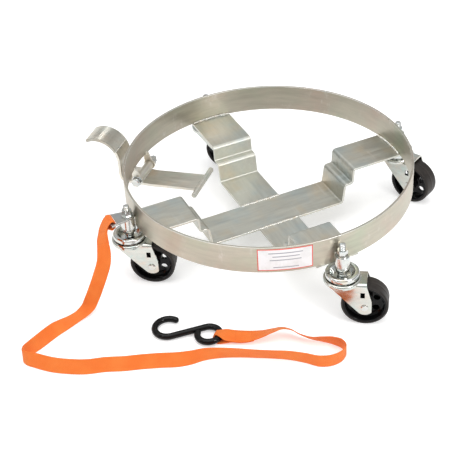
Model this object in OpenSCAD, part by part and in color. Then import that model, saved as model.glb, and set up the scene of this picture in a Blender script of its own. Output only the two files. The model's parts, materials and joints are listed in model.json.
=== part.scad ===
// Drum dolly: a steel ring on a stepped cross, four swivel casters,
// a rocking foot lever and a hook strap.
// Z = 0 is the floor, the Z axis is the ring's own axis, and the lever lies along -X.

/* [Ring] */
// Outside diameter of the ring band
ring_od = 620; // [610:2:640]
// Thickness of the ring band
ring_t = 5; // [4:0.5:6]
// Height of the ring band
ring_h = 61; // [50:1:64]
// Height of the ring's lower edge above the floor
ring_z = 134; // [133:0.5:136]

/* [Cross] */
// Width of the cross bars
bar_w = 94; // [80:1:100]
// Thickness of the cross bars
bar_t = 5; // [4:0.5:6]
// Height of the lowest drum seat, on the middle of the cross
low_seat_z = 56; // [50:1:62]
// Height of the small ledge between the two main seats
mid_seat_z = 100; // [92:1:106]
// Distance from the centre to the first step's foot
low_seat_r = 155; // [150:1:160]
// Distance from the centre to the second step's foot
mid_seat_r = 181; // [178:1:186]

/* [Casters] */
// Distance from the centre to each swivel axis
post_r = 325; // [325:0.5:327]
// Wheel diameter over the tread
wheel_d = 95; // [88:1:96]
// Width of the tread
wheel_w = 40; // [34:1:40]
// Distance from the swivel axis back to the axle
trail = 46; // [42:1:48]
// Swing of each caster from +X, counted round from the first post
swing = [-18, 0, 13, 11]; // [-180:1:180]

/* [Lever] */
// Width of the lever strip
lever_w = 57; // [50:1:58]
// Thickness of the lever strip
lever_t = 6; // [5:0.5:6]
// Length of the cross rod on the lever's inner end
rod_l = 107; // [80:1:108]

/* [Strap] */
// Width of the webbing
strap_w = 30; // [25:1:30]
// Thickness of the webbing
strap_t = 2; // [1.5:0.1:2.5]
// Diameter of the coated hook rod
hook_d = 13.5; // [11:0.5:13.5]

/* [Hidden] */
$fn = 64;

zinc = "#c9c6bb";
bright_zinc = "#dcdcd8";
steel = "#b8babb";

ring_r = ring_od / 2;
ring_in_r = ring_r - ring_t;
ring_top = ring_z + ring_h;
bar_half = sqrt(ring_r * ring_r - bar_w * bar_w / 4) - 0.5;
post_angles = [45, 135, 225, 315];

// Caster sizes, heights above the floor
axle_z = wheel_d / 2;
tread_t = 4.5;
axle_r = 4.75;
stem_r = 6.35;
running_gap = 0.05;
race_t = 2.5;
upper_race_z = 106.5;
race_rim_z = 119;
race_rim_r = 33.2;
crown_t = 3;
crown_z = 103;
crown_rim_z = 105.5;
crown_lip_z = 99;
crown_r = 37;
fork_half = wheel_w / 2 + 4;
fork_tail = 49.5;
tip_r = 17.5;
lower_race_z = 94;
ball_r = 3;
socket_r = 15;
socket_z0 = 124;
socket_z1 = 158;
washer_t = 2.5;
nut_h = 11.5;
nut_r = 11;
stem_top = 186;

// Strap plate, under the nut of the third post
plate_t = 4;
plate_reach = 41;
plate_half = 22;
slot_pos = 31;
slot_size = [6, 32];

// Lever hinge, in the plane of the lever: distance from the centre and height
pivot = [297, 108];
sleeve_r = 10;
sleeve_half = 31;
ear_y = 31.5;
ear_t = 5;
ear_top = 139;
ear_foot = 7;
hinge_washer_t = 3;
hinge_head_t = 9;
hinge_tail = 9;
curl_centre = [392, 143];
curl_r = 50;
strip_z = pivot[1] - sleeve_r - lever_t / 2;
strip_end = [161, 103];
seam_angle = 150;
tip_angle = 60;
lever_rod_r = 6;
lever_rod_pos = [155, 105];

// Hook, lying on the floor: centres of its mouth and of its eye
mouth = [-94, -371];
mouth_r = 27;
eye = [-7, -367];
eye_r = 23;

// The strap's route: place, then the bearing and the slope of the webbing's width
strap_route = [
    [-252, -252, 154, -45, 0], [-252, -252, 163, -45, 0], [-254, -254, 166, -45, 0],
    [-257, -257, 167, -45, 0], [-261, -261, 163, -45, 0], [-264, -268, 157, -50, 0],
    [-264, -280, 149, -46, 0], [-260, -293, 138, -24, 0], [-253, -305, 122, 2, 0],
    [-250, -318, 100, 14, 0], [-254, -331, 78, 20, 0], [-260, -344, 55, 20, 8],
    [-267, -355, 33, 20, 14], [-275, -366, 14, 10, 12], [-284, -379, 5, -4, 4],
    [-295, -400, 3.2, -14, -6], [-303, -421, 6.5, -18, -20], [-311, -443, 10, -20, -36],
    [-318, -467, 12, -24, -46], [-325, -492, 13.2, -30, -55], [-332, -514, 14.6, -38, -68],
    [-337, -528, 15.4, -50, -84], [-335, -537, 15.3, -90, -84], [-325, -541, 14.8, -90, -70],
    [-305, -541, 13.4, -90, -56], [-270, -541, 12.2, -90, -48], [-234, -536, 12.2, -90, -48],
    [-200, -527, 12.8, -90, -52], [-168, -511, 12.8, -90, -52], [-134, -498, 12.8, -90, -52],
    [-100, -482, 12.8, -90, -52], [-66, -468, 12.9, -90, -53], [-36, -457, 13.3, -90, -56],
    [-14, -446, 14.5, -90, -66], [6, -432, 15.3, -90, -80], [34, -419, 15.4, -90, -93],
    [66, -409, 15.3, -90, -100], [100, -401, 15.1, -90, -104], [134, -393, 15.1, -90, -105],
    [168, -386, 15.3, -90, -101], [200, -384, 15.4, -90, -96], [230, -384, 15.3, -90, -90],
    [252, -374, 15.4, 112, -90], [266, -356, 15.4, 112, -88], [268, -338, 15.4, 112, -84],
    [256, -325, 15.4, 112, -80], [238, -321, 15.1, 112, -73], [216, -322, 14.2, 112, -62],
    [194, -325, 14, 112, -50], [170, -324, 17, 112, -43], [150, -322, 23, 112, -38],
    [134, -324, 24, 112, -34], [116, -332, 20, 112, -26], [98, -341, 15, 112, -14],
    [76, -351, 12, 112, 2], [54, -359, 12, 110, 12], [34, -364, 14.5, 104, 10],
    [20, -366, 16.9, 94, 3], [9, -367, 17, 90, 0]];

// Helpers ------------------------------------------------------------------------

function unit(v) = v / norm(v);

// Points of a rounded corner b between a and c, on a path of bend radius r
function corner(a, b, c, r) =
    let (u = unit(a - b), w = unit(c - b), half = acos(u * w) / 2,
        centre = b + unit(u + w) * r / sin(half),
        from = b + u * r / tan(half) - centre,
        start = atan2(from[1], from[0]),
        turn = (180 - 2 * half) * (cross(u, w) < 0 ? 1 : -1))
    [for (i = [0 : 4]) centre + r * [cos(start + turn * i / 4), sin(start + turn * i / 4)]];

// A path of straight runs whose corners are rounded
function bent(points, r) = let (last = len(points) - 1)
    [for (i = [0 : last]) each (i == 0 || i == last) ? [points[i]]
        : corner(points[i - 1], points[i], points[i + 1], r)];

function arc(centre, r, a0, a1, steps) =
    [for (i = [0 : steps]) let (a = a0 + (a1 - a0) * i / steps) centre + r * [cos(a), sin(a)]];

// The closed outline of a sheet of thickness t that follows a path
function sheet(path, t) = let (last = len(path) - 1,
    side = [for (i = [0 : last])
        let (d = unit(path[min(i + 1, last)] - path[max(i - 1, 0)])) [-d[1], d[0]] * t / 2])
    concat([for (i = [0 : last]) path[i] + side[i]],
        [for (i = [last : -1 : 0]) path[i] - side[i]]);

// The same outline with the first coordinate turned round, for what lies along -X
function turned(points) = [for (p = points) [-p[0], p[1]]];

module at_post(i) rotate(post_angles[i]) translate([post_r, 0, 0]) children();

// A caster's own frame: X points from the swivel axis back to the wheel
module at_caster(i) at_post(i) rotate(swing[i] - post_angles[i]) children();

module at_wheel(i) at_caster(i) translate([trail, 0, axle_z]) rotate([90, 0, 0]) children();

// A plate standing in the lever's plane, of width w
module in_lever_plane(w) rotate([90, 0, 0]) linear_extrude(w, center = true) children();

module annulus(r, bore, h) difference() {
    cylinder(r = r, h = h);
    translate([0, 0, -1]) cylinder(r = bore, h = h + 2);
}

// Ring and cross --------------------------------------------------------------------

module ring_band() color(zinc)
    translate([0, 0, ring_z]) annulus(ring_r, ring_in_r, ring_h);

bend_r = 6;
step_path = [[low_seat_r + 3, low_seat_z - bar_t / 2], [low_seat_r + 10, mid_seat_z - bar_t / 2],
    [mid_seat_r + 2.5, mid_seat_z - bar_t / 2], [mid_seat_r + 5, ring_z - bar_t / 2],
    [bar_half, ring_z - bar_t / 2]];

module stepped_bar(path) rotate([90, 0, 0]) linear_extrude(bar_w, center = true)
    polygon(sheet(bent(path, bend_r), bar_t));

module long_bar() color(steel) rotate(post_angles[0])
    stepped_bar(concat(turned([for (i = [len(step_path) - 1 : -1 : 0]) step_path[i]]), step_path));

module half_bar(angle) color(steel) rotate(angle)
    stepped_bar(concat([[bar_w / 2, low_seat_z - bar_t / 2]], step_path));

bead_r = 4;
weld_gap = 0.03;

// A half-round bead that lies on the flat, over a butt joint
module cross_welds() color(bright_zinc) for (angle = [post_angles[1], post_angles[3]])
    rotate(angle) translate([bar_w / 2, 0, low_seat_z]) rotate([90, 0, 0])
        linear_extrude(bar_w - 2, center = true) intersection() {
            translate([0, -bead_r / 2]) circle(bead_r);
            translate([-bead_r, 0]) square([2 * bead_r, bead_r]);
        }

ring_weld_angle = 2 * asin((bar_w / 2 - 3) / ring_in_r);

module ring_welds() color(bright_zinc) for (angle = post_angles)
    rotate(angle - ring_weld_angle / 2) rotate_extrude(angle = ring_weld_angle, $fn = 180)
        polygon([[ring_in_r - 5, ring_z], [ring_in_r, ring_z], [ring_in_r, ring_z + 5]]);

// The fillets on both sides of a socket, where it meets the ring
module socket_welds() color(bright_zinc) for (angle = post_angles) rotate(angle)
    translate([0, 0, ring_z + 1]) linear_extrude(socket_z1 - ring_z - 2)
        for (side = [-1, 1]) difference() {
            translate([ring_r + 2, side * 6]) square([8, 6], center = true);
            circle(ring_r + weld_gap, $fn = 360);
            translate([post_r, 0]) circle(socket_r + weld_gap);
        }

// Sockets, stems and races --------------------------------------------------------------

module socket(i) color(zinc) at_post(i)
    translate([0, 0, socket_z0]) annulus(socket_r, stem_r + 0.4, socket_z1 - socket_z0);

// Height of the washer's underside: the third post also carries the strap plate
function washer_z(i) = socket_z1 + (i == 2 ? plate_t : 0);

module caster_stems() color(bright_zinc) for (i = [0 : 3]) at_post(i) {
    translate([0, 0, lower_race_z - 6]) cylinder(r = stem_r, h = stem_top - 1 - lower_race_z + 6);
    translate([0, 0, stem_top - 1]) cylinder(r1 = stem_r, r2 = stem_r - 1, h = 1);
    translate([0, 0, lower_race_z - 6]) cylinder(r = 10, h = 5);
    translate([0, 0, upper_race_z + race_t / 2])
        cylinder(r = 10, h = socket_z0 - upper_race_z - race_t / 2);
}

module stem_washers() color(bright_zinc) for (i = [0 : 3]) at_post(i)
    translate([0, 0, washer_z(i)]) annulus(12.5, stem_r + 0.1, washer_t);

module stem_nuts() color(bright_zinc) for (i = [0 : 3]) at_post(i)
    translate([0, 0, washer_z(i) + washer_t]) difference() {
        intersection() {
            cylinder(r = nut_r, h = nut_h, $fn = 6);
            translate([0, 0, -2]) cylinder(r1 = nut_r + 2, r2 = nut_r - 1, h = nut_h + 2);
        }
        translate([0, 0, -1]) cylinder(r = stem_r + 0.02, h = nut_h + 2);
    }

module turned_sheet(path, r, t) rotate_extrude($fn = 96) polygon(sheet(bent(path, r), t));

module upper_race(i) color(bright_zinc) at_post(i)
    turned_sheet([[stem_r + 0.02, upper_race_z], [19, upper_race_z], [26, race_rim_z],
        [race_rim_r, race_rim_z], [race_rim_r, race_rim_z - 8]], 3, race_t);

module lower_races() color(bright_zinc) for (i = [0 : 3]) at_post(i)
    turned_sheet([[stem_r + 0.02, lower_race_z], [17, lower_race_z], [17, lower_race_z + 5.5]], 2, 2);

module swivel_balls() color(bright_zinc) for (i = [0 : 3]) at_post(i) {
    for (a = [0 : 30 : 330]) rotate(a) translate([26.1, 0, 110.4]) sphere(ball_r);
    for (a = [0 : 60 : 300]) rotate(a)
        translate([12.2, 0, lower_race_z + 1 + ball_r + 0.02]) sphere(ball_r);
}

// Forks and wheels ---------------------------------------------------------------------

leg_front = [-28, 101];
leg_rear = [fork_tail, crown_z];

// Angle round the axle at which a line from p touches the leg's round tip
function touch(p, side) = let (v = p - [trail, axle_z])
    atan2(v[1], v[0]) + side * acos(tip_r / norm(v));

leg_outline = concat([[leg_front[0] - 2, crown_z + 8], leg_front],
    arc([trail, axle_z], tip_r, touch(leg_front, 1), touch(leg_rear, -1) + 360, 16),
    [leg_rear, [fork_tail, crown_z + 8]]);

module fork(i) color(zinc) at_caster(i) difference() {
    union() {
        intersection() {
            rotate([90, 0, 90]) translate([0, 0, -40]) linear_extrude(100)
                polygon(sheet(bent([[-fork_half, 0], [-fork_half, crown_z], [fork_half, crown_z],
                    [fork_half, 0]], 6), crown_t));
            rotate([90, 0, 0]) linear_extrude(100, center = true) polygon(leg_outline);
        }
        turned_sheet([[stem_r, crown_z], [23, crown_z], [28, crown_rim_z], [crown_r, crown_rim_z],
            [crown_r, crown_lip_z]], 3, crown_t);
    }
    translate([0, 0, crown_z - 10]) cylinder(r = stem_r + running_gap, h = 20);
    translate([trail, 0, axle_z]) rotate([90, 0, 0]) cylinder(r = axle_r + 0.02, h = 100, center = true);
    translate([trail - 4, 0, axle_z + 31.5]) cube([9, 100, 13], center = true);
}

axle_half = fork_half + crown_t / 2;

module axle(i) color(bright_zinc) at_wheel(i) {
    cylinder(r = axle_r, h = 2 * axle_half, center = true);
    for (side = [0, 1]) mirror([0, 0, side]) translate([0, 0, axle_half]) {
        cylinder(r = 7.5, h = 1.5);
        translate([0, 0, 1.5]) cylinder(r1 = 7.5, r2 = 4.5, h = 1.5);
    }
}

module thrust_washers(i) color(bright_zinc) at_wheel(i)
    for (side = [0, 1]) mirror([0, 0, side]) translate([0, 0, wheel_w / 2 + 0.2])
        annulus(9, axle_r + running_gap, 2.1);

module round_about_axle(points) rotate_extrude($fn = 96) polygon(concat(points,
    [for (k = [len(points) - 1 : -1 : 0]) [points[k][0], -points[k][1]]]));

core_r = wheel_d / 2 - tread_t;
hub_bore = 7;

module wheel_core(i) color("#1b1b1c") at_wheel(i) difference() {
    round_about_axle([[hub_bore, wheel_w / 2], [12.5, wheel_w / 2], [15, 5], [19, 3.5],
        [34, 3.5], [37.5, 6], [39, wheel_w / 2 - 2.5], [40, wheel_w / 2 - 1.5],
        [core_r, wheel_w / 2 - 1.5]]);
    for (a = [0 : 60 : 300]) rotate(a + 26) translate([26, 0, -20]) cylinder(r = 6.8, h = 40);
}

module tyre(i) color("#3a3633") at_wheel(i)
    round_about_axle(concat([[core_r, wheel_w / 2 - 1]],
        arc([wheel_d / 2 - 3, wheel_w / 2 - 3], 3, 90, 10, 5), [[wheel_d / 2, wheel_w / 2 - 6]]));

module bushing(i) color("#a78b55") at_wheel(i)
    translate([0, 0, -wheel_w / 2]) annulus(hub_bore, axle_r + running_gap, wheel_w);

// Lever -----------------------------------------------------------------------------------

sleeve_bore = stem_r + 0.07;
hinge_y = ear_y + ear_t;

module lever_ears() color(zinc) difference() {
    intersection() {
        for (side = [-1, 1]) translate([0, side * (ear_y + ear_t / 2), 0])
            in_lever_plane(ear_t) union() {
                translate([-pivot[0], pivot[1]]) circle(13);
                polygon([[-pivot[0] - 11, pivot[1]], [-pivot[0] + 11, pivot[1]],
                    [ear_foot - ring_in_r, ear_top], [-ring_r, ear_top]]);
            }
        union() {
            cylinder(r = ring_in_r, h = ring_top, $fn = 360);
            cylinder(r = ring_r + 10, h = ring_z);
        }
    }
    translate([-pivot[0], 0, pivot[1]]) rotate([90, 0, 0])
        cylinder(r = stem_r + 0.02, h = 100, center = true);
}

module on_hinge(y) translate([-pivot[0], y, pivot[1]]) rotate([-90, 0, 0]) children();

module hinge_bolt() color(bright_zinc) {
    on_hinge(-hinge_y - hinge_washer_t) cylinder(r = stem_r, h = 2 * (hinge_y + hinge_washer_t) + nut_h + hinge_tail);
    on_hinge(-hinge_y - hinge_washer_t - hinge_head_t) cylinder(r = nut_r, h = hinge_head_t, $fn = 6);
}

module hinge_nut() color(bright_zinc) on_hinge(hinge_y + hinge_washer_t) difference() {
    cylinder(r = nut_r, h = nut_h, $fn = 6);
    translate([0, 0, -1]) cylinder(r = stem_r + 0.02, h = nut_h + 2);
}

module hinge_washers() color(bright_zinc) for (y = [-hinge_y - hinge_washer_t, hinge_y])
    on_hinge(y) annulus(12.5, stem_r + 0.1, hinge_washer_t);

module lever_sleeve() color(zinc) on_hinge(-sleeve_half) annulus(sleeve_r, sleeve_bore, 2 * sleeve_half);

// A short last step squares the ends where the strip and the pedal meet
seam_step = 0.05;

function on_curl(a) = curl_centre + curl_r * [cos(a), sin(a)];

strip_path = concat(bent([strip_end, [270, strip_z], [curl_centre[0] - curl_r, strip_z],
    [curl_centre[0] - curl_r, curl_centre[1] - 4]], 14),
    arc(curl_centre, curl_r, 180, seam_angle + seam_step, 4), [on_curl(seam_angle)]);
pedal_path = concat([on_curl(seam_angle)], arc(curl_centre, curl_r, seam_angle - seam_step, tip_angle, 14));

module lever_strip() color(steel) in_lever_plane(lever_w) polygon(turned(sheet(strip_path, lever_t)));

module foot_pedal() color(zinc) in_lever_plane(lever_w) polygon(turned(sheet(pedal_path, lever_t)));

module lever_rod() color(zinc) translate([-lever_rod_pos[0], 0, lever_rod_pos[1]]) rotate([90, 0, 0])
    cylinder(r = lever_rod_r, h = rod_l, center = true);

// Fillets between the sleeve and the strip
module lever_welds() color(bright_zinc) in_lever_plane(2 * sleeve_half - 6)
    for (side = [-1, 1]) difference() {
        translate([-pivot[0] + side * 6, strip_z + lever_t / 2 + 1.5]) square([6, 3], center = true);
        translate([-pivot[0], pivot[1]]) circle(sleeve_r);
    }

// Trim, strap plate, strap and hook -----------------------------------------------------------

module label_plate() color("#f2efe9") rotate(284.7) rotate_extrude(angle = 20.2, $fn = 360)
    translate([ring_r, ring_z + 5]) square([0.4, 52]);

// Angle at which the plate's straight side touches its round end
plate_touch = atan2(plate_half, plate_reach) + acos(socket_r / norm([plate_reach, plate_half]));

module strap_plate() color("#9b9d9c") at_post(2) translate([0, 0, socket_z1]) linear_extrude(plate_t)
    difference() {
        polygon(concat(arc([0, 0], socket_r, plate_touch, 360 - plate_touch, 16),
            [[plate_reach, -plate_half], [plate_reach, plate_half]]));
        circle(stem_r + 0.1);
        translate([slot_pos, 0]) square(slot_size, center = true);
    }

// A solid through rings of points, which all have the same number of points
module swept(rings) let (n = len(rings[0]), last = len(rings) - 1) polyhedron(
    points = [for (ring = rings) each ring],
    faces = concat([[for (k = [n - 1 : -1 : 0]) k]], [[for (k = [0 : n - 1]) last * n + k]],
        [for (i = [0 : last - 1], k = [0 : n - 1]) let (a = i * n + k, b = i * n + (k + 1) % n)
            each [[a, b, b + n], [a, b + n, a + n]]]));

// The webbing's section, as parts of its half width and its half thickness
strap_section = [[-1, -0.5], [-0.5, -1], [0.5, -1], [1, -0.5], [1, 0.5], [0.5, 1], [-0.5, 1], [-1, 0.5]];

function route_place(i) = [strap_route[i][0], strap_route[i][1], strap_route[i][2]];

function strap_ring(i) = let (last = len(strap_route) - 1, p = strap_route[i],
    along = unit(route_place(min(i + 1, last)) - route_place(max(i - 1, 0))),
    lean = [cos(p[4]) * cos(p[3]), cos(p[4]) * sin(p[3]), sin(p[4])],
    across = unit(lean - along * (lean * along)),
    up = cross(along, across))
    [for (s = strap_section) route_place(i) + across * s[0] * strap_w / 2 + up * s[1] * strap_t / 2];

module strap() color("#ff7a2e") swept([for (i = [0 : len(strap_route) - 1]) strap_ring(i)]);

// The straight shank touches both circles, on opposite sides
eye_vector = eye - mouth;
shank_angle = atan2(eye_vector[1], eye_vector[0]) + asin((mouth_r + eye_r) / norm(eye_vector));
mouth_start = 77;
eye_wrap = 300;
hook_sides = 12;
hook_path = concat(arc(mouth, mouth_r, mouth_start, shank_angle + 270, 16),
    arc(eye, eye_r, shank_angle + 90, shank_angle + 90 - eye_wrap, 20));

// The hook rests on the webbing at its eye, and on the floor at its mouth
function hook_lift(x) = (strap_t + 0.3) * (x - mouth[0] + mouth_r) / (eye[0] + eye_r - mouth[0] + mouth_r);

function hook_ring(i) = let (last = len(hook_path) - 1, p = hook_path[i],
    d = unit(hook_path[min(i + 1, last)] - hook_path[max(i - 1, 0)]))
    [for (k = [0 : hook_sides - 1]) let (a = 360 * k / hook_sides, c = cos(a) * hook_d / 2)
        [p[0] - d[1] * c, p[1] + d[0] * c, hook_d / 2 * (1 + sin(a)) + hook_lift(p[0])]];

module strap_hook() color("#161616") swept([for (i = [0 : len(hook_path) - 1]) hook_ring(i)]);

ring_band();
long_bar();
half_bar(post_angles[1]);  // half_bar_rear
half_bar(post_angles[3]);  // half_bar_front
cross_welds();
ring_welds();
socket_welds();
socket(0);  // socket_1
socket(1);  // socket_2
socket(2);  // socket_3
socket(3);  // socket_4
caster_stems();
stem_nuts();
stem_washers();
upper_race(0);  // upper_race_1
upper_race(1);  // upper_race_2
upper_race(2);  // upper_race_3
upper_race(3);  // upper_race_4
lower_races();
swivel_balls();
fork(0);  // fork_1
fork(1);  // fork_2
fork(2);  // fork_3
fork(3);  // fork_4
axle(0);  // axle_1
axle(1);  // axle_2
axle(2);  // axle_3
axle(3);  // axle_4
thrust_washers(0);  // thrust_washers_1
thrust_washers(1);  // thrust_washers_2
thrust_washers(2);  // thrust_washers_3
thrust_washers(3);  // thrust_washers_4
wheel_core(0);  // wheel_core_1
wheel_core(1);  // wheel_core_2
wheel_core(2);  // wheel_core_3
wheel_core(3);  // wheel_core_4
tyre(0);  // tyre_1
tyre(1);  // tyre_2
tyre(2);  // tyre_3
tyre(3);  // tyre_4
bushing(0);  // bushing_1
bushing(1);  // bushing_2
bushing(2);  // bushing_3
bushing(3);  // bushing_4
strap_plate();
lever_ears();
hinge_bolt();
hinge_nut();
hinge_washers();
lever_sleeve();
lever_strip();
lever_rod();
foot_pedal();
lever_welds();
label_plate();
strap();
strap_hook();
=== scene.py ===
# %% [markdown]
# # A drum dolly
# A drum dolly is a flat steel ring on a stepped cross of flat bar, carried by four swivel
# casters. A foot lever rocks on the ring, and a hook strap lets one person pull the load.
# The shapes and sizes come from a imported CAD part. This lesson loads that part as a fixed
# frame and gives it what a CAD model lacks: eased edges, weld ripples, threads, a woven
# strap and real finishes. Everything is in metres, with Z = 0 on the floor.

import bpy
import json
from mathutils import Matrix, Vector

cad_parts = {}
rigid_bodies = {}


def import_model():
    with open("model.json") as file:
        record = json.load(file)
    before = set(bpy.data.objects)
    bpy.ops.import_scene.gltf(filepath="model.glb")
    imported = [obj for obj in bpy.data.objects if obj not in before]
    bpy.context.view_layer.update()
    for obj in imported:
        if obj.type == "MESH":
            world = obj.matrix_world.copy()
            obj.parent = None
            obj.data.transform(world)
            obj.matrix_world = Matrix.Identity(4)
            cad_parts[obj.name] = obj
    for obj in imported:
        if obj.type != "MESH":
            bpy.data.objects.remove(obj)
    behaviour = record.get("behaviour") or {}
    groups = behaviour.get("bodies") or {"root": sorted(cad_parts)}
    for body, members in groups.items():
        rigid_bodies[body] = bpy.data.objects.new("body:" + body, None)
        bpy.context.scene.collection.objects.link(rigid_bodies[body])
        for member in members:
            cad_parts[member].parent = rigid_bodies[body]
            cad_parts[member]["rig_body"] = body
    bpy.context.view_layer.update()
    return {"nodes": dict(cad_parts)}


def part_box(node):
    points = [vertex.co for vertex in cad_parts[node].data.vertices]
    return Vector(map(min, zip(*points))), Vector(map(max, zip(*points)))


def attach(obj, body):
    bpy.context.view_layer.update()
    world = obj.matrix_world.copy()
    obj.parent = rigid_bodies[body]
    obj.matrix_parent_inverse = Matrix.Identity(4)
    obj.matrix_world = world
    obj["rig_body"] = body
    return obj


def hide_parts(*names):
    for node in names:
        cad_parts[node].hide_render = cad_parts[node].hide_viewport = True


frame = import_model()

# %% Modules, and one list of what has been made
import json
import math

import bmesh
import bpy
import numpy as np
from mathutils import Matrix, Quaternion, Vector

mm = 0.001
scene = bpy.context.scene


def keep(piece, body, slot, *nodes):
    """Hands a finished piece to its body and hides the CAD nodes it stands for. slot is not used.
    """
    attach(piece, body)
    if nodes:
        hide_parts(*nodes)
    print(f"{piece.name}: {len(piece.data.polygons)} faces on {body}")
    return piece


# %% [markdown]
# ## Camera, light and floor
# The dolly is shown from above and in front, with a long lens that keeps the ring's
# ellipse calm. Aiming a camera by a direction and a roll is easier to read than by Euler
# angles: track the -Z axis along the direction, then turn about it.

# %% Camera
camera_place = Vector((0.7001, -1.9446, 1.5630))
camera_aim = Vector((-0.3032, 0.7398, -0.6006))
camera_roll = math.radians(3.82)

lens = bpy.data.cameras.new("camera")
lens.lens, lens.sensor_width = 90.67, 36
camera = bpy.data.objects.new("camera", lens)
scene.collection.objects.link(camera)
turn = camera_aim.to_track_quat("-Z", "Y") @ Quaternion((0, 0, 1), -camera_roll)
camera.matrix_world = Matrix.Translation(camera_place) @ turn.to_matrix().to_4x4()
scene.camera = camera
print("camera at", tuple(camera_place))

# %% [markdown]
# Metal looks like what it reflects, so the sky matters more than the lamps. This sky is
# bright overhead and grey lower down. Flat bars mirror the grey part, and upright faces
# mirror the white floor, which is why the ring looks paler than the cross. Camera rays
# see a plain pale backdrop instead.

# %% Sky
sky_levels = [(0.0, 0.55), (0.22, 0.5), (0.5, 0.6), (0.68, 0.7), (0.84, 1.2), (1.0, 1.35)]
backdrop = (0.93, 0.93, 0.94, 1)


def feed(tree, socket, value):
    """Links an output to a socket, or sets the socket to a plain value."""
    if isinstance(value, bpy.types.NodeSocket):
        tree.links.new(value, socket)
    else:
        socket.default_value = value


def node(tree, kind, *values, settings=None, **named):
    """Adds a shader or geometry node. Values fill its inputs in order, or by name."""
    made = tree.nodes.new(kind)
    for name, value in (settings or {}).items():
        setattr(made, name, value)
    filled = [(made.inputs[i], v) for i, v in enumerate(values) if v is not None]
    filled += [(made.inputs[k.replace("_", " ")], v) for k, v in named.items()]
    for socket, value in filled:
        feed(tree, socket, value)
    return made


def ramp(tree, factor, stops):
    """A Color Ramp through (place, grey level or colour) stops."""
    made = node(tree, "ShaderNodeValToRGB", factor)
    elements = made.color_ramp.elements
    while len(elements) < len(stops):
        elements.new(0.5)
    for element, (place, value) in zip(elements, stops):
        element.position = place
        element.color = (value, value, value, 1) if isinstance(value, (int, float)) else value
    return made.outputs["Color"]


sky = bpy.data.worlds.new("studio")
scene.world = sky
sky.use_nodes = True
tree = sky.node_tree
tree.nodes.clear()
height = node(tree, "ShaderNodeSeparateXYZ", node(tree, "ShaderNodeTexCoord").outputs["Generated"])
brightest = max(level for _, level in sky_levels)
glow = node(tree, "ShaderNodeBackground", Strength=brightest,
    Color=ramp(tree, height.outputs["Z"], [(z, level / brightest) for z, level in sky_levels]))
plain = node(tree, "ShaderNodeBackground", Color=backdrop, Strength=1)
seen_directly = node(tree, "ShaderNodeLightPath").outputs["Is Camera Ray"]
mixed = node(tree, "ShaderNodeMixShader", seen_directly, glow.outputs[0], plain.outputs[0])
node(tree, "ShaderNodeOutputWorld", mixed.outputs[0])
scene.view_settings.view_transform = "Standard"
print("sky with", len(sky_levels), "levels")

# %% Lamps and floor
# Each lamp: where it hangs, what it aims at, its two sides and its power in watts
lamps = {
    "overhead": ((-0.3, -0.4, 2.6), (0, 0, 0), (2.6, 1.8), 20),
    "key": ((2.05, -1.03, 1.69), (-0.2, 0.2, 0.13), (0.7, 0.7), 22),
    "front_left": ((-2.2, -1.8, 1.3), (0, 0, 0.1), (0.5, 1.4), 5),
    "sparkle": ((-0.9, -2.1, 2.3), (0, -0.2, 0.1), (0.22, 0.22), 4),
}
for name, (place, aim, sides, power) in lamps.items():
    lamp = bpy.data.lights.new(name, "AREA")
    lamp.shape, lamp.energy = "RECTANGLE", power
    lamp.size, lamp.size_y = sides
    holder = bpy.data.objects.new(name, lamp)
    scene.collection.objects.link(holder)
    facing = (Vector(aim) - Vector(place)).to_track_quat("-Z", "Y")
    holder.matrix_world = Matrix.Translation(place) @ facing.to_matrix().to_4x4()


def build(name, vertices, faces, material=None):
    """A mesh object from numbers, with smooth faces."""
    mesh = bpy.data.meshes.new(name)
    mesh.from_pydata([tuple(v) for v in vertices], [], [tuple(f) for f in faces])
    mesh.validate()
    mesh.shade_smooth()
    piece = bpy.data.objects.new(name, mesh)
    scene.collection.objects.link(piece)
    if material:
        mesh.materials.append(material)
    return piece


def face_outwards(piece):
    """Recalculates the normals of a closed mesh."""
    work = bmesh.new()
    work.from_mesh(piece.data)
    bmesh.ops.recalc_face_normals(work, faces=work.faces)
    work.to_mesh(piece.data)
    work.free()


def plain_mesh(piece):
    """What a piece's modifiers make of it, as a mesh of its own."""
    shaped = piece.evaluated_get(bpy.context.evaluated_depsgraph_get())
    return bpy.data.meshes.new_from_object(shaped)


floor_half, floor_z = 7, -0.3 * mm
corners = [(-1, -1), (1, -1), (1, 1), (-1, 1)]
paper = bpy.data.materials.new("paper")
paper.use_nodes = True
lit = paper.node_tree.nodes["Principled BSDF"].inputs
lit["Base Color"].default_value = (0.8, 0.8, 0.8, 1)
lit["Roughness"].default_value = 1
lit["Emission Color"].default_value = (1, 1, 1, 1)
lit["Emission Strength"].default_value = 0.38
floor = build("floor", [(x * floor_half, y * floor_half, floor_z) for x, y in corners], [range(4)],
    paper)
print(len(lamps), "lamps and a floor")

# %% [markdown]
# ## The finishes
# Most of the dolly is zinc plate over steel. Zinc plate is never one flat grey: the clear
# passivation on it has a faint bloom that drifts from straw to pink and blue-green, the
# rolled bar under it has a fine grain, and handling leaves short scuffs. Each of these is
# a node group with its own inputs, so that every metal on the dolly can share it.

# %% Group tools


def group(name, inputs, outputs):
    """A shader node group. inputs are (name, kind, default) and outputs are (name, kind)."""
    tree = bpy.data.node_groups.new(name, "ShaderNodeTree")
    for label, kind, default in inputs:
        socket = tree.interface.new_socket(label, in_out="INPUT", socket_type="NodeSocket" + kind)
        if default is not None:
            socket.default_value = default
    for label, kind in outputs:
        tree.interface.new_socket(label, in_out="OUTPUT", socket_type="NodeSocket" + kind)
    return tree, tree.nodes.new("NodeGroupInput").outputs, tree.nodes.new("NodeGroupOutput").inputs


def use(tree, shared, **named):
    """Places a node group in a material."""
    return node(tree, "ShaderNodeGroup", settings={"node_tree": shared}, **named).outputs


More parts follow.
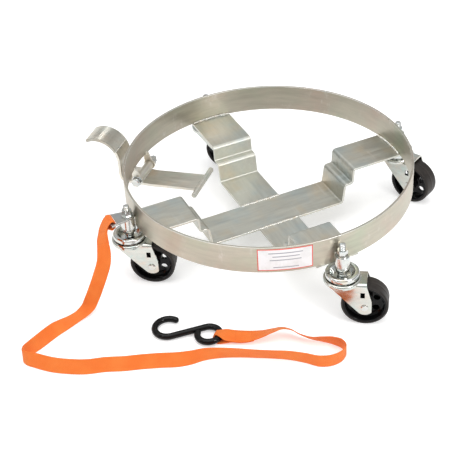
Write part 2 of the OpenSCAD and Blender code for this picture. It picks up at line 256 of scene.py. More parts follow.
def sums(tree, operation, *values):
    """One Math node's result."""
    return node(tree, "ShaderNodeMath", *values, settings={"operation": operation}).outputs[0]


def stretch(tree, vector, scale):
    """A vector with each part multiplied."""
    return node(tree, "ShaderNodeVectorMath", vector, scale,
        settings={"operation": "MULTIPLY"}).outputs[0]


def speckle(tree, vector, scale, detail=2.0, roughness=0.5):
    """One Noise Texture's value."""
    return node(tree, "ShaderNodeTexNoise", Vector=vector, Scale=scale, Detail=detail,
        Roughness=roughness).outputs[0]


def spread(tree, value, low, high, to_low=0.0, to_high=1.0):
    """A clamped Map Range."""
    return node(tree, "ShaderNodeMapRange", value, low, high, to_low, to_high).outputs[0]


def blend_colours(tree, factor, first, second):
    """A Mix node on colours."""
    made = node(tree, "ShaderNodeMix", settings={"data_type": "RGBA"})
    for place, value in ((0, factor), (6, first), (7, second)):
        feed(tree, made.inputs[place], value)
    return made.outputs[2]


# %% Shared effects
bloom, gets, puts = group("plating bloom",
    [("Vector", "Vector", None), ("Base", "Color", None), ("Warm", "Color", None),
     ("Cool", "Color", None), ("Size", "Float", 9.0)], [("Color", "Color")])
drift = speckle(bloom, gets["Vector"], gets["Size"], 3.0, 0.55)
tinted = blend_colours(bloom, spread(bloom, drift, 0.52, 0.68), gets["Base"], gets["Warm"])
tinted = blend_colours(bloom, spread(bloom, drift, 0.46, 0.32), tinted, gets["Cool"])
bloom.links.new(tinted, puts["Color"])

grain, gets, puts = group("rolled grain",
    [("Vector", "Vector", None), ("Fineness", "Float", 900.0)],
    [("Height", "Float"), ("Tone", "Float")])
drawn = stretch(grain, gets["Vector"], (0.03, 1, 1))
fine = speckle(grain, drawn, gets["Fineness"], 3.0, 0.6)
grain.links.new(fine, puts["Height"])
wide = speckle(grain, stretch(grain, gets["Vector"], (0.12, 1, 1)), 120.0, 4.0, 0.65)
grain.links.new(wide, puts["Tone"])

scuffs, gets, puts = group("scuffs",
    [("Vector", "Vector", None), ("Size", "Float", 60.0), ("Amount", "Float", 0.5)],
    [("Mask", "Float")])
marks = speckle(scuffs, stretch(scuffs, gets["Vector"], (1, 0.12, 0.5)), gets["Size"], 5.0, 0.7)
patches = speckle(scuffs, gets["Vector"], 14.0)
worn = sums(scuffs, "MULTIPLY", spread(scuffs, marks, 0.56, 0.7),
    spread(scuffs, patches, 0.42, 0.62))
scuffs.links.new(sums(scuffs, "MULTIPLY", worn, gets["Amount"]), puts["Mask"])
print("groups:", [g.name for g in (bloom, grain, scuffs)])

# %% [markdown]
# The grain has to run the way the steel was rolled. On the ring that is round the ring,
# so the place is turned into an angle and a radius first. On the cross it is along each
# bar, at 45 degrees, and on the lever it is along the lever.

# %% Which way the grain runs
ring_mid_r = 0.3075


def grain_vector(tree, direction):
    """Object coordinates with X along the grain."""
    place = node(tree, "ShaderNodeTexCoord").outputs["Object"]
    if direction == "round":
        parts = node(tree, "ShaderNodeSeparateXYZ", place).outputs
        angle = sums(tree, "ARCTAN2", parts["Y"], parts["X"])
        radius = node(tree, "ShaderNodeVectorMath", stretch(tree, place, (1, 1, 0)),
            settings={"operation": "LENGTH"}).outputs["Value"]
        return node(tree, "ShaderNodeCombineXYZ", sums(tree, "MULTIPLY", angle, ring_mid_r),
            radius, parts["Z"]).outputs[0]
    return node(tree, "ShaderNodeMapping", Vector=place,
        Rotation=(0, 0, math.radians(direction))).outputs[0]


def new_material(name):
    """An empty node material with its Principled shader."""
    made = bpy.data.materials.new(name)
    made.use_nodes = True
    tree = made.node_tree
    return made, tree, tree.nodes["Principled BSDF"]


def plug(tree, shader, **named):
    """Sets or links a shader's sockets by name."""
    for name, value in named.items():
        feed(tree, shader.inputs[name.replace("_", " ")], value)


def bump(tree, height, depth, strength=1.0):
    """A Bump node of that depth in metres."""
    return node(tree, "ShaderNodeBump", Strength=strength, Distance=depth, Height=height).outputs[0]


def zinc(name, base, warm, cool, rough, direction=0, size=9.0, depth=0.02, wear=0.4, grainy=1.0):
    """Zinc plate. rough is (least, most) roughness and depth the grain's, in millimetres."""
    made, tree, shader = new_material(name)
    along = grain_vector(tree, direction)
    drawn = use(tree, grain, Vector=along)
    worn = use(tree, scuffs, Vector=along, Amount=wear)["Mask"]
    tint = use(tree, bloom, Vector=along, Base=(*base, 1), Warm=(*warm, 1), Cool=(*cool, 1),
        Size=size)["Color"]
    tone = spread(tree, drawn["Tone"], 0.3, 0.7, 1 - 0.12 * grainy, 1 + 0.1 * grainy)
    shade = node(tree, "ShaderNodeVectorMath", tint, settings={"operation": "SCALE"}, Scale=tone)
    bright = blend_colours(tree, worn, shade.outputs[0], (0.72, 0.72, 0.7, 1))
    gloss = spread(tree, drawn["Tone"], 0.3, 0.7, *rough)
    plug(tree, shader, Base_Color=bright, Metallic=1.0, Roughness=gloss,
        Normal=bump(tree, drawn["Height"], depth * mm))
    return made


# %% Metals
# Each metal: its base, warm and cool colours, its least and most roughness, the way its grain
# runs, the size of its bloom, the depth of its grain in millimetres, its wear and graininess
bar_look = ((0.52, 0.52, 0.465), (0.56, 0.51, 0.41), (0.47, 0.51, 0.49), (0.32, 0.48))
metal_looks = {
    "ring_zinc": ((0.47, 0.44, 0.365), (0.50, 0.41, 0.345), (0.42, 0.45, 0.35), (0.34, 0.48),
        "round", 7.0),
    "bar_steel": (*bar_look, -45, 14.0, 0.02, 0.4, 0.8),
    "cross_steel": (*bar_look, 45, 14.0, 0.02, 0.4, 0.8),
    "lever_zinc": ((0.66, 0.64, 0.57), (0.70, 0.63, 0.53), (0.60, 0.63, 0.56), (0.28, 0.42),
        0, 18.0),
    "tread_zinc": ((0.40, 0.385, 0.335), (0.43, 0.38, 0.31), (0.36, 0.385, 0.34), (0.34, 0.48),
        0, 18.0),
    "bright_zinc": ((0.60, 0.61, 0.59), (0.62, 0.58, 0.50), (0.55, 0.60, 0.61), (0.10, 0.22),
        0, 60.0, 0.008, 0.3, 0.7),
    "fork_zinc": ((0.56, 0.57, 0.53), (0.60, 0.54, 0.47), (0.50, 0.56, 0.53), (0.12, 0.26),
        0, 45.0, 0.012, 0.3, 0.8),
    "stud_zinc": ((0.52, 0.51, 0.46), (0.55, 0.50, 0.43), (0.48, 0.51, 0.47), (0.26, 0.38),
        0, 60.0, 0.01, 0.3, 0.6),
    "plate_steel": ((0.40, 0.41, 0.40), (0.43, 0.41, 0.36), (0.37, 0.40, 0.42), (0.30, 0.46),
        -45, 50.0, 0.03, 0.6),
    "ball_steel": ((0.62, 0.62, 0.61), (0.6, 0.58, 0.54), (0.58, 0.6, 0.62), (0.06, 0.12),
        0, 200.0, 0.002, 0.1, 0.2),
    "weld_metal": ((0.70, 0.69, 0.64), (0.66, 0.60, 0.50), (0.58, 0.62, 0.62), (0.16, 0.34),
        0, 90.0, 0.05, 0.5, 0.8),
    # The edge zinc is brighter than the faces it borders: a painted highlight for the eased edges
    "edge_highlight_zinc": ((0.66, 0.65, 0.61), (0.68, 0.63, 0.56), (0.61, 0.64, 0.62), (0.24, 0.36),
        0, 40.0, 0.01, 0.2, 0.6),
}
metals = {name: zinc(name, *look) for name, look in metal_looks.items()}
print(len(metals), "metals")

# %% [markdown]
# Rubber, lacquer and plastic are dielectrics: the colour comes from inside them, and the
# sharp white reflection from the surface. The wheel's core is glossy and dusty at once,
# so the dust raises its roughness in patches. The tread is duller and browner.

# %% Plastics and rubber


def moulded(name, colour, dusty, rough, depth, size=220.0, shine=0.3):
    """A moulded or dipped finish that gets lighter and rougher where dust has settled."""
    made, tree, shader = new_material(name)
    place = node(tree, "ShaderNodeTexCoord").outputs["Object"]
    dust = spread(tree, speckle(tree, place, 38.0, 5.0, 0.65), 0.45, 0.75)
    worn = use(tree, scuffs, Vector=place, Size=90.0, Amount=0.6)["Mask"]
    film = sums(tree, "MAXIMUM", dust, worn)
    plug(tree, shader, Base_Color=blend_colours(tree, film, (*colour, 1), (*dusty, 1)),
        Roughness=spread(tree, film, 0, 1, *rough), Specular_IOR_Level=shine,
        Normal=bump(tree, speckle(tree, place, size, 3.0), depth * mm))
    return made


core_black = moulded("core_black", (0.004, 0.004, 0.0045), (0.011, 0.010, 0.010),
    (0.08, 0.24), 0.03, shine=0.16)
tread_rubber = moulded("tread_rubber", (0.016, 0.0125, 0.0105), (0.038, 0.031, 0.026),
    (0.46, 0.68), 0.12, 700.0)
hook_coating = moulded("hook_coating", (0.003, 0.003, 0.003), (0.006, 0.006, 0.006),
    (0.05, 0.12), 0.06, 75.0, 0.2)
bronze = zinc("bushing_bronze", (0.50, 0.36, 0.17), (0.46, 0.30, 0.14), (0.42, 0.34, 0.20),
    (0.28, 0.42), 0, 90.0, 0.02, 0.3)

# %% [markdown]
# ## The webbing's weave
# Strap webbing is a warp-faced weave. Thick warp yarns run along it and each one dips under
# a weft at every few millimetres, with its neighbours out of step. The strap's mesh carries
# an attribute with the distance across and along in metres, so the yarns follow every twist.

# %% Webbing material
yarn_pitch, dip_pitch = 1.15 * mm, 2.3 * mm

weave, gets, puts = group("webbing weave",
    [("Vector", "Vector", None), ("Yarn", "Float", 1 / yarn_pitch),
     ("Dip", "Float", 1 / dip_pitch)], [("Height", "Float"), ("Groove", "Float")])
parts = node(weave, "ShaderNodeSeparateXYZ", gets["Vector"]).outputs
across = sums(weave, "MULTIPLY", parts["X"], gets["Yarn"])
along = sums(weave, "MULTIPLY", parts["Y"], gets["Dip"])
column = sums(weave, "FLOOR", across)
step = sums(weave, "MULTIPLY_ADD", column, 0.5, along)
yarn = sums(weave, "ABSOLUTE", sums(weave, "SINE", sums(weave, "MULTIPLY", across, math.pi)))
dip = sums(weave, "ABSOLUTE", sums(weave, "SINE", sums(weave, "MULTIPLY", step, math.pi)))
weave.links.new(sums(weave, "MULTIPLY", sums(weave, "POWER", yarn, 0.6),
    sums(weave, "POWER", dip, 0.7)), puts["Height"])
# Groove is the mask of the hollows between yarns, where the material paints shade
weave.links.new(sums(weave, "SUBTRACT", 1.0, sums(weave, "MULTIPLY", yarn, dip)), puts["Groove"])


def woven(name, colour, shade, worn_colour):
    """Dyed webbing that reads the attribute named weave, with painted shade darkening its grooves.
    """
    made, tree, shader = new_material(name)
    mark = node(tree, "ShaderNodeAttribute", settings={"attribute_name": "weave"})
    place = mark.outputs["Vector"]
    cloth = use(tree, weave, Vector=place)
    fade = spread(tree, speckle(tree, place, 26.0, 3.0), 0.4, 0.7)
    fuzz = speckle(tree, place, 2600.0, 2.0)
    dyed = blend_colours(tree, fade, (*colour, 1), (*worn_colour, 1))
    # The grooves between yarns are mixed towards the shade colour: painted shade in the weave's
    # recesses
    dye_and_groove_shade = blend_colours(tree, sums(tree, "MULTIPLY", cloth["Groove"], 0.55), dyed, (*shade, 1))
    relief = sums(tree, "MULTIPLY_ADD", fuzz, 0.25, cloth["Height"])
    plug(tree, shader, Base_Color=dye_and_groove_shade, Roughness=0.72, Sheen_Weight=0.35, Sheen_Roughness=0.4,
        Sheen_Tint=(1.0, 0.62, 0.38, 1), Normal=bump(tree, relief, 0.35 * mm))
    return made


# Each webbing: its dye, the darker colour of its painted groove shade, and its faded colour
webbing = woven("webbing", (0.91, 0.195, 0.014), (0.62, 0.085, 0.005), (0.94, 0.25, 0.03))
thread = woven("thread", (0.82, 0.15, 0.012), (0.55, 0.065, 0.005), (0.86, 0.19, 0.025))
print("webbing with yarns", round(yarn_pitch / mm, 2), "mm apart")

# %% [markdown]
# ## The strap
# The strap is one flat ribbon. Its route is a list of places with the direction of its
# width at each, the same list the CAD part uses. A cubic through the places makes one
# smooth line, and a ring of points round the ribbon at each step makes the skin. The
# woven edge is not straight: every weft turns back there and leaves a small tooth.

# %% The strap's route
# x, y, z in metres, then the bearing and the slope of the webbing's width in degrees
strap_route = [
    (-0.252, -0.252, 0.154, -45, 0), (-0.252, -0.252, 0.163, -45, 0),
    (-0.254, -0.254, 0.166, -45, 0), (-0.257, -0.257, 0.167, -45, 0),
    (-0.261, -0.261, 0.163, -45, 0), (-0.264, -0.268, 0.157, -50, 0),
    (-0.264, -0.280, 0.149, -46, 0), (-0.260, -0.293, 0.138, -24, 0),
    (-0.253, -0.305, 0.122, 2, 0), (-0.250, -0.318, 0.100, 14, 0), (-0.254, -0.331, 0.078, 20, 0),
    (-0.260, -0.344, 0.055, 20, 8), (-0.267, -0.355, 0.033, 20, 14),
    (-0.275, -0.366, 0.014, 10, 12), (-0.284, -0.379, 0.005, -4, 4),
    (-0.295, -0.400, 0.0032, -14, -6), (-0.303, -0.421, 0.0065, -18, -20),
    (-0.311, -0.443, 0.010, -20, -36), (-0.318, -0.467, 0.012, -24, -46),
    (-0.325, -0.492, 0.0132, -30, -55), (-0.332, -0.514, 0.0146, -38, -68),
    (-0.337, -0.528, 0.0154, -50, -84), (-0.335, -0.537, 0.0153, -90, -84),
    (-0.325, -0.541, 0.0148, -90, -70), (-0.305, -0.541, 0.0134, -90, -56),
    (-0.270, -0.541, 0.0122, -90, -48), (-0.234, -0.536, 0.0122, -90, -48),
    (-0.200, -0.527, 0.0128, -90, -52), (-0.168, -0.511, 0.0128, -90, -52),
    (-0.134, -0.498, 0.0128, -90, -52), (-0.100, -0.482, 0.0128, -90, -52),
    (-0.066, -0.468, 0.0129, -90, -53), (-0.036, -0.457, 0.0133, -90, -56),
    (-0.014, -0.446, 0.0145, -90, -66), (0.006, -0.432, 0.0153, -90, -80),
    (0.034, -0.419, 0.0154, -90, -93), (0.066, -0.409, 0.0153, -90, -100),
    (0.100, -0.401, 0.0151, -90, -104), (0.134, -0.393, 0.0151, -90, -105),
    (0.168, -0.386, 0.0153, -90, -101), (0.200, -0.384, 0.0154, -90, -96),
    (0.230, -0.384, 0.0153, -90, -90), (0.252, -0.374, 0.0154, 112, -90),
    (0.266, -0.356, 0.0154, 112, -88), (0.268, -0.338, 0.0154, 112, -84),
    (0.256, -0.325, 0.0154, 112, -80), (0.238, -0.321, 0.0151, 112, -73),
    (0.216, -0.322, 0.0142, 112, -62), (0.194, -0.325, 0.014, 112, -50),
    (0.170, -0.324, 0.017, 112, -43), (0.150, -0.322, 0.023, 112, -38),
    (0.134, -0.324, 0.024, 112, -34), (0.116, -0.332, 0.020, 112, -26),
    (0.098, -0.341, 0.015, 112, -14), (0.076, -0.351, 0.012, 112, 2),
    (0.054, -0.359, 0.012, 110, 12), (0.034, -0.364, 0.0145, 104, 10),
    (0.020, -0.366, 0.0169, 94, 3), (0.009, -0.367, 0.017, 90, 0)]
strap_w, strap_t = 0.030, 0.002
ring_step = 0.8 * mm


def smooth_line(rows, step):
    """Rows of numbers, in which the first three are a place, as a cubic with even steps."""
    rows = np.array(rows, float)
    at = np.concatenate([[0], np.cumsum(np.linalg.norm(np.diff(rows[:, :3], axis=0), axis=1))])
    slopes = np.gradient(rows, at, axis=0)
    wanted = np.linspace(0, at[-1], max(2, round(at[-1] / step)) + 1)
    i = np.clip(np.searchsorted(at, wanted, side="right") - 1, 0, len(at) - 2)
    gap = (at[i + 1] - at[i])[:, None]
    t = ((wanted - at[i])[:, None]) / gap
    return ((2 * t**3 - 3 * t**2 + 1) * rows[i] + (t**3 - 2 * t**2 + t) * gap * slopes[i]
        + (3 * t**2 - 2 * t**3) * rows[i + 1] + (t**3 - t**2) * gap * slopes[i + 1])


def units(vectors):
    """Each row scaled to length 1."""
    return vectors / np.linalg.norm(vectors, axis=1)[:, None]


def width_vector(bearing, slope):
    """The direction of the webbing's width."""
    b, s = math.radians(bearing), math.radians(slope)
    return (math.cos(s) * math.cos(b), math.cos(s) * math.sin(b), math.sin(s))


def ribbon_frames(route, step=ring_step):
    """Places along a route, with the directions across and out of the ribbon at each."""
    line = smooth_line([(*r[:3], *width_vector(*r[3:])) for r in route], step)
    places = line[:, :3]
    along = units(np.gradient(places, axis=0))
    lean = line[:, 3:]
    across = units(lean - along * np.sum(lean * along, axis=1)[:, None])
    return places, across, np.cross(along, across)


strap_frames = ribbon_frames(strap_route)
strap_line = strap_frames[0]

# %% A ribbon of webbing


def bands(rings, n):
    """The four-sided faces between closed rings of n points each."""
    return [(i * n + k, i * n + (k + 1) % n, (i + 1) * n + (k + 1) % n, (i + 1) * n + k)
        for i in range(rings - 1) for k in range(n)]


tooth_pitch, tooth_depth, bunched = 3.0 * mm, 0.32 * mm, 0.5
columns = np.array([-1, -0.985, -0.93, -0.8, -0.55, -0.28, 0, 0.28, 0.55, 0.8, 0.93, 0.985, 1])


def gathered(run, start, end):
    """The share of its width that the webbing keeps, where it bunches up near an end."""
    kept = np.ones(len(run))
    for length, distance in ((start, run), (end, run[-1] - run)):
        if length:
            t = np.clip(distance / length, 0, 1)
            kept *= bunched + (1 - bunched) * t * t * (3 - 2 * t)
    return kept


def ribbon(name, frames, start=0, end=0):
    """Webbing along frames, bunched over a length at its start or its end. Its weave
    attribute holds metres across and along."""
    places, across, out = frames
    run = np.concatenate([[0], np.cumsum(np.linalg.norm(np.diff(places, axis=0), axis=1))])
    tooth = tooth_depth * np.abs(np.sin(np.pi * run / tooth_pitch))
    swell = np.sqrt(np.clip(1 - np.abs(columns) ** 14, 0, 1))
    u = np.concatenate([columns, columns[-2:0:-1]])
    side = np.concatenate([swell, -swell[-2:0:-1]]) * strap_t / 2
    kept = gathered(run, start, end)[:, None]
    reach = (strap_w / 2 - tooth_depth + tooth[:, None] * np.abs(u)[None] ** 8) * kept
    folds = (1 - kept) * 1.1 * mm * np.cos(u[None] * 3 * math.pi)
    points = (places[:, None] + across[:, None] * (u[None] * reach)[..., None]
        + out[:, None] * (side[None] * (2 - kept) + folds)[..., None])
    n, rings = len(u), len(places)
    faces = bands(rings, n)
    faces += [tuple(range(n))[::-1], tuple((rings - 1) * n + k for k in range(n))]
    piece = build(name, points.reshape(-1, 3), faces, webbing)
    cloth = np.zeros((rings, n, 3))
    cloth[..., 0] = u * strap_w / 2
    cloth[..., 1] = run[:, None]
    piece.data.attributes.new("weave", "FLOAT_VECTOR", "POINT").data.foreach_set(
        "vector", cloth.reshape(-1).astype(np.float32))
    face_outwards(piece)
    return piece


bunch_length = 0.022
strap = keep(ribbon("strap_webbing", strap_frames, end=bunch_length), "root", "webbing", "strap")

# %% [markdown]
# ## The sewn loops
# A strap is fixed to metal by folding it back and sewing the two layers together. The
# short tail is its own piece: it leaves the far side of the slot or hook, and lies against
# the strap's inner face. It follows the strap's own frames, one thickness away, so the two
# layers can never cross.

# %% Loop tails
layer_gap = 2.15 * mm


def beside(index, side):
    """A place one layer away from the strap, as a route row, at one of its rings."""
    places, across, out = strap_frames
    spot = places[index] + out[index] * layer_gap * side
    lean = across[index]
    return (*spot, math.degrees(math.atan2(lean[1], lean[0])), math.degrees(math.asin(lean[2])))


def at_run(distance):
    """The strap ring at a distance from its start, or from its end where it's negative."""
    count = round(abs(distance) / ring_step)
    return count if distance >= 0 else len(strap_line) - 1 - count


tail_at_plate = [(-0.252, -0.252, 0.1545, -45, 0), (-0.2535, -0.2545, 0.1515, -46, 0),
    (-0.257, -0.262, 0.149, -48, 0)]
tail_at_hook = [(0.009, -0.367, 0.0170, 90, 0), (0.0074, -0.3672, 0.0146, 90, 0),
    (0.0066, -0.3672, 0.0085, 90, 0), (0.0088, -0.367, 0.0034, 91, 0),
    (0.016, -0.3665, 0.0013, 93, 0), (0.026, -0.365, 0.0040, 98, 2)]
inner_at_plate = [beside(at_run(d), -1) for d in (0.046, 0.052, 0.058, 0.064, 0.070, 0.076)]
inner_at_hook = [beside(at_run(-d), 1) for d in (0.036, 0.044, 0.052, 0.060, 0.068, 0.076)]
plate_tail = ribbon("strap_tail_at_plate", ribbon_frames(tail_at_plate + inner_at_plate))
hook_tail = ribbon("strap_tail_at_hook", ribbon_frames(tail_at_hook + inner_at_hook),
    start=bunch_length)
for tail in (plate_tail, hook_tail):
    keep(tail, "root", "webbing")

# %% [markdown]
# Both loops are closed with a sewn box: two rows along the strap and two across it. Every
# stitch is the same small loop of thread, which is what instancing is for. The tree takes
# the seam as a curve, resamples it at the stitch's pitch, and turns each stitch along it.

# %% Geometry Nodes tools


def geometry_tree(name, inputs):
    """A tree from Geometry to Geometry. inputs are (name, kind, default)."""
    tree = bpy.data.node_groups.new(name, "GeometryNodeTree")
    tree.interface.new_socket("Geometry", in_out="INPUT", socket_type="NodeSocketGeometry")
    for label, kind, default in inputs:
        socket = tree.interface.new_socket(label, in_out="INPUT", socket_type="NodeSocket" + kind)
        if default is not None:
            socket.default_value = default
    tree.interface.new_socket("Geometry", in_out="OUTPUT", socket_type="NodeSocketGeometry")
    return tree, tree.nodes.new("NodeGroupInput").outputs


def finish_tree(tree, instances, gets, smooth=True):
    """Realizes the instances, shades them smooth and gives them the tree's material."""
    real = node(tree, "GeometryNodeRealizeInstances", instances).outputs[0]
    if smooth:
        real = node(tree, "GeometryNodeSetShadeSmooth", real).outputs[0]
    painted = node(tree, "GeometryNodeSetMaterial", Geometry=real, Material=gets["Material"])
    node(tree, "NodeGroupOutput", painted.outputs[0])


def grow(name, lines, tree, **sizes):
    """Runs a tree over lines, each a list of places, and returns the result as a plain mesh."""
    curve = bpy.data.meshes.new(name)
    points, edges = [], []
    for line in lines:
        first = len(points)
        points += [tuple(p) for p in line]
        edges += [(i, i + 1) for i in range(first, len(points) - 1)]
    curve.from_pydata(points, edges, [])
    holder = bpy.data.objects.new(name + "_seed", curve)
    scene.collection.objects.link(holder)
    modifier = holder.modifiers.new("grow", "NODES")
    modifier.node_group = tree
    for item in tree.interface.items_tree:
        if item.in_out == "INPUT" and item.name in sizes:
            modifier[item.identifier] = sizes[item.name]
    bpy.context.view_layer.update()
    mesh = plain_mesh(holder)
    holder.modifiers.remove(modifier)
    bpy.data.objects.remove(holder)
    mesh.name = name
    piece = bpy.data.objects.new(name, mesh)
    scene.collection.objects.link(piece)
    return piece


# %% The bead tree, for stitches and for weld ripples
beads, gets = geometry_tree("beads along lines", [("Pitch", "Float", 0.002),
    ("Size", "Vector", (0.002, 0.001, 0.001)), ("Lean", "Float", 0.0),
    ("Uneven", "Float", 0.1), ("Seed", "Int", 3), ("Material", "Material", None)])
path = node(beads, "GeometryNodeMeshToCurve", gets["Geometry"]).outputs[0]
spots = node(beads, "GeometryNodeResampleCurve", Curve=path, Length=gets["Pitch"],
    settings={"mode": "LENGTH"}).outputs[0]
tangent = node(beads, "GeometryNodeInputTangent").outputs[0]
facing = node(beads, "FunctionNodeAlignRotationToVector", Vector=tangent,
    settings={"axis": "X"}).outputs[0]
tilt = node(beads, "ShaderNodeCombineXYZ", Y=gets["Lean"]).outputs[0]
facing = node(beads, "FunctionNodeRotateRotation", facing, tilt,
    settings={"rotation_space": "LOCAL"}).outputs[0]
least = sums(beads, "SUBTRACT", 1.0, gets["Uneven"])
most = sums(beads, "ADD", 1.0, gets["Uneven"])
chance = node(beads, "FunctionNodeRandomValue", Min=least, Max=most, Seed=gets["Seed"],
    settings={"data_type": "FLOAT"})
chance = next(s for s in chance.outputs if s.enabled)
grown = node(beads, "ShaderNodeVectorMath", gets["Size"], settings={"operation": "SCALE"},
    Scale=chance).outputs[0]
drop = node(beads, "GeometryNodeMeshUVSphere", Segments=10, Rings=6, Radius=1.0).outputs[0]
placed = node(beads, "GeometryNodeInstanceOnPoints", Points=spots, Instance=drop,
    Rotation=facing, Scale=grown).outputs[0]
finish_tree(beads, placed, gets)
print("bead tree with", len(beads.nodes), "nodes")

# %% Stitches
stitch_pitch, stitch_size = 2.6 * mm, (1.05 * mm, 0.36 * mm, 0.30 * mm)
seam_inset = 3.4 * mm


def seam(first, last, side, depth):
    """A sewn box between two distances along the strap, on its skin, as four lines."""
    places, across, out = strap_frames
    a, b = sorted((at_run(first), at_run(last)))
    skin = places + out * side * depth
    half = strap_w / 2 - seam_inset
    rows = [[skin[i] + across[i] * half * s for i in range(a, b + 1)] for s in (-1, 1)]
    ends = [[skin[i] + across[i] * half * u for u in np.linspace(-1, 1, 12)] for i in (a, b)]
    return rows + ends


above = strap_t / 2 + 0.02 * mm
below = above + layer_gap
# Each sewn box: where it starts and ends along the strap, and the side its loop's tail is not on
boxes = []
for first, last, side in ((0.050, 0.074, 1), (-0.040, -0.072, -1)):
    boxes += seam(first, last, side, above) + seam(first, last, -side, below)
stitches = grow("strap_stitches", boxes, beads, Pitch=stitch_pitch, Size=stitch_size,
    Uneven=0.08, Seed=11, Material=thread)
keep(stitches, "root", "webbing")

# %% [markdown]
# ## The hook
# The hook is one steel rod bent in its own plane: an open mouth, a straight shank and an
# eye whose end comes round to the shank. It is dipped in black plastic, which rounds its
# ends and leaves a very even gloss. A tube swept along arcs makes it, and its two ends
# shrink to a point in a few rings, as a dipped end does.

# %% Hook
mouth, mouth_r = np.array([-0.094, -0.371]), 0.027
eye, eye_r = np.array([-0.007, -0.367]), 0.023
hook_r, mouth_start, eye_wrap = 0.00675, 77, 300
hook_rise = strap_t + 0.3 * mm
hook_sides, cap_rings = 28, 6


def arc(centre, radius, first, last, steps):
    """Places round a centre, with angles in degrees."""
    a = np.radians(np.linspace(first, last, steps + 1))
    return centre + radius * np.stack([np.cos(a), np.sin(a)], 1)


def tube(name, path, radius, sides, material, up=(0, 0, 1)):
    """A round rod along a flat path, with domed ends."""
    path = np.array(path, float)
    along = units(np.gradient(path, axis=0))
    dome = np.sin(np.linspace(0, np.pi / 2, cap_rings + 1))[1:-1]
    back = np.cos(np.linspace(0, np.pi / 2, cap_rings + 1))[1:-1] * radius
    heads = [path[0] - along[0] * b for b in back]
    tails = [path[-1] + along[-1] * b for b in back[::-1]]
    centres = np.array(heads + list(path) + tails)
    ways = np.concatenate([[along[0]] * len(back), along, [along[-1]] * len(back)])
    radii = np.concatenate([dome, np.ones(len(path)), dome[::-1]]) * radius
    up = np.array(up, float)
    normal = units(up - ways * (ways @ up)[:, None])
    side = np.cross(ways, normal)
    a = np.linspace(0, 2 * np.pi, sides, endpoint=False)
    rings = (centres[:, None] + radii[:, None, None] * (np.cos(a)[None, :, None] * side[:, None]
        + np.sin(a)[None, :, None] * normal[:, None])).reshape(-1, 3)
    tips = [path[0] - along[0] * radius, path[-1] + along[-1] * radius]
    count, n = len(centres), sides
    faces = bands(count, n)
    faces += [(count * n, (k + 1) % n, k) for k in range(n)]
    last = (count - 1) * n
    faces += [(count * n + 1, last + k, last + (k + 1) % n) for k in range(n)]
    piece = build(name, np.concatenate([rings, tips]), faces, material)
    face_outwards(piece)
    return piece


reach = eye - mouth
shank = math.degrees(math.atan2(reach[1], reach[0])
    + math.asin((mouth_r + eye_r) / np.linalg.norm(reach)))
mouth_arc = arc(mouth, mouth_r, mouth_start, shank + 270, 48)
eye_arc = arc(eye, eye_r, shank + 90, shank + 90 - eye_wrap, 64)
bridge = np.linspace(mouth_arc[-1], eye_arc[0], 8)[1:-1]
hook_path = np.concatenate([mouth_arc, bridge, eye_arc])
lift = hook_rise * (hook_path[:, 0] - mouth[0] + mouth_r) / (eye[0] + eye_r - mouth[0] + mouth_r)
hook = tube("strap_hook_rod", np.column_stack([hook_path, hook_r + lift]), hook_r, hook_sides,
    hook_coating)
keep(hook, "root", "hook_coating", "strap_hook")

# %% [markdown]
# ## Eased edges
# A CAD edge is perfectly sharp, and nothing made of metal is. Sheared and stamped steel has
# a small round on each edge, and that round is what catches the light. Each of these parts
# is a copy of its CAD mesh: doubles are merged, flat areas become single faces, and a
# narrow bevel with its own material rolls over every edge above 28 degrees. On the ring,
# cross, lever, pedal, plate and forks that material is brighter than the faces: a painted
# highlight along each edge.

# %% Eased copies
flat_angle, sharp_angle = math.radians(0.6), math.radians(28)


def eased(node_name, finish, width, edge, segments=2):
    """A copy of a CAD node with its edges rounded to a width in millimetres."""
    source = frame["nodes"][node_name]
    work = bmesh.new()
    work.from_mesh(source.data)
    bmesh.ops.remove_doubles(work, verts=work.verts, dist=0.004 * mm)
    bmesh.ops.dissolve_limit(work, angle_limit=flat_angle, verts=work.verts, edges=work.edges)
    mesh = bpy.data.meshes.new(node_name + "_eased")
    work.to_mesh(mesh)
    work.free()
    if "custom_normal" in mesh.attributes:
        mesh.attributes.remove(mesh.attributes["custom_normal"])
    mesh.materials.append(finish)
    mesh.materials.append(edge)
    for face in mesh.polygons:
        face.material_index = 0
    mesh.shade_smooth()
    piece = bpy.data.objects.new(node_name + "_eased", mesh)
    scene.collection.objects.link(piece)
    bevel = piece.modifiers.new("edges", "BEVEL")
    bevel.width, bevel.segments = width * mm, segments
    bevel.limit_method, bevel.angle_limit = "ANGLE", sharp_angle
    bevel.material, bevel.use_clamp_overlap = 1, True
    weigh = piece.modifiers.new("normals", "WEIGHTED_NORMAL")
    weigh.weight, weigh.keep_sharp = 100, False
    final = plain_mesh(piece)
    piece.modifiers.clear()
    piece.data = final
    final.name = node_name + "_eased"
    return keep(piece, source["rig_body"], source.material_slots[0].material.name, node_name)


edge_highlight_zinc = metals["edge_highlight_zinc"]
ring_zinc, bright, fork_zinc = metals["ring_zinc"], metals["bright_zinc"], metals["fork_zinc"]
lever_zinc, cross_steel = metals["lever_zinc"], metals["cross_steel"]
